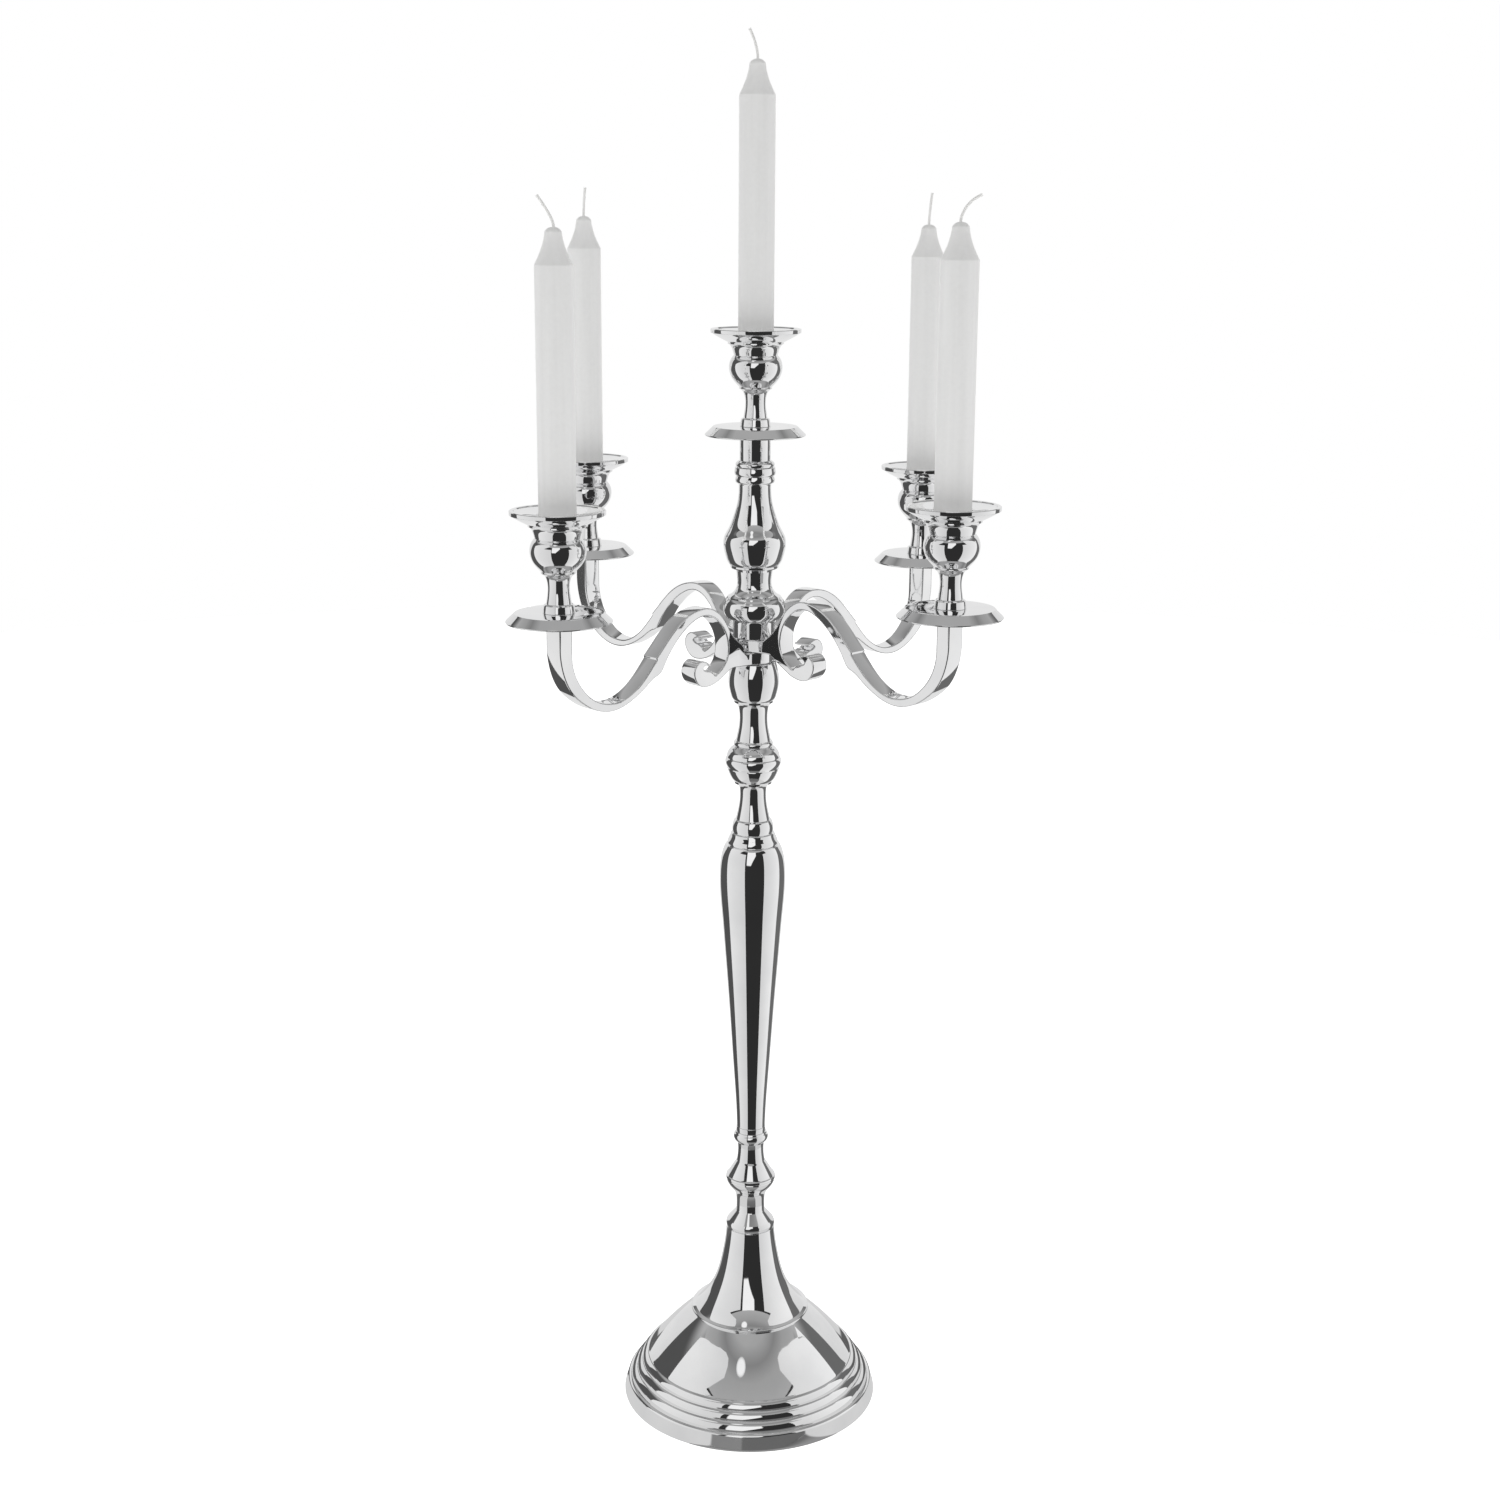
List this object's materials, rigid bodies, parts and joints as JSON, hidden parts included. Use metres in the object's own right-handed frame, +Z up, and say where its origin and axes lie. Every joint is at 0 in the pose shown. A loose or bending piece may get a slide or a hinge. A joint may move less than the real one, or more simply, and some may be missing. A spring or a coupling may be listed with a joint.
{
  "type": "tabletop candelabra",
  "caption": "Tall polished-nickel candelabra with a turned stem on a stepped bell base, crossed scroll arms, drip pans, turned cups and plain dinner candles.",
  "frame": {"origin": "centre of the base on the table", "axes": "+Z up along the stem; the upper crossbar lies along X and the lower crossbar along Y"},
  "size_m": [0.3838, 0.3838, 0.897],
  "materials": {
    "polished_nickel": "polished",
    "zinc_steel": "zinc-plated steel fasteners",
    "candle_wax": "smooth pale wax, slightly translucent",
    "wick_cotton": "waxed braided cotton"
  },
  "bodies": {
    "stand": {"base_bell": "polished_nickel", "base_washer": "zinc_steel", "base_nut": "zinc_steel", "tie_rod": "zinc_steel", "stem_foot": "polished_nickel", "main_baluster": "polished_nickel", "stem_shoulder": "polished_nickel", "stem_knob": "polished_nickel", "lower_hub": "polished_nickel", "upper_hub": "polished_nickel", "pear_vase": "polished_nickel", "bead_collar": "polished_nickel", "candle_column": "polished_nickel", "upper_rod": "zinc_steel", "drip_pan_centre": "polished_nickel", "candle_cup_centre": "polished_nickel"},
    "lower_arm_pair": {"lower_arms": "polished_nickel", "cup_studs_lower": "zinc_steel", "drip_pan_front_left": "polished_nickel", "candle_cup_front_left": "polished_nickel", "drip_pan_back_right": "polished_nickel", "candle_cup_back_right": "polished_nickel"},
    "upper_arm_pair": {"upper_arms": "polished_nickel", "cup_studs_upper": "zinc_steel", "drip_pan_front_right": "polished_nickel", "candle_cup_front_right": "polished_nickel", "drip_pan_back_left": "polished_nickel", "candle_cup_back_left": "polished_nickel"},
    "taper_centre": {"candle_centre": "candle_wax", "wick_centre": "wick_cotton"},
    "taper_front_left": {"candle_front_left": "candle_wax", "wick_front_left": "wick_cotton"},
    "taper_back_right": {"candle_back_right": "candle_wax", "wick_back_right": "wick_cotton"},
    "taper_front_right": {"candle_front_right": "candle_wax", "wick_front_right": "wick_cotton"},
    "taper_back_left": {"candle_back_left": "candle_wax", "wick_back_left": "wick_cotton"}
  },
  "joints": [
    {"name": "lower_arms_turn", "type": "hinge", "parent": "stand", "child": "lower_arm_pair", "pos_m": [0, 0, 0.516], "axis": [0, 0, 1], "range_deg": [-15, 15]},
    {"name": "upper_arms_turn", "type": "hinge", "parent": "stand", "child": "upper_arm_pair", "pos_m": [0, 0, 0.524], "axis": [0, 0, 1], "range_deg": [-15, 15]},
    {"name": "candle_centre_lift", "type": "slide", "parent": "stand", "child": "taper_centre", "axis": [0, 0, 1], "range_m": [0, 0.06]},
    {"name": "candle_front_left_lift", "type": "slide", "parent": "lower_arm_pair", "child": "taper_front_left", "axis": [0, 0, 1], "range_m": [0, 0.06]},
    {"name": "candle_back_right_lift", "type": "slide", "parent": "lower_arm_pair", "child": "taper_back_right", "axis": [0, 0, 1], "range_m": [0, 0.06]},
    {"name": "candle_front_right_lift", "type": "slide", "parent": "upper_arm_pair", "child": "taper_front_right", "axis": [0, 0, 1], "range_m": [0, 0.06]},
    {"name": "candle_back_left_lift", "type": "slide", "parent": "upper_arm_pair", "child": "taper_back_left", "axis": [0, 0, 1], "range_m": [0, 0.06]}
  ]
}
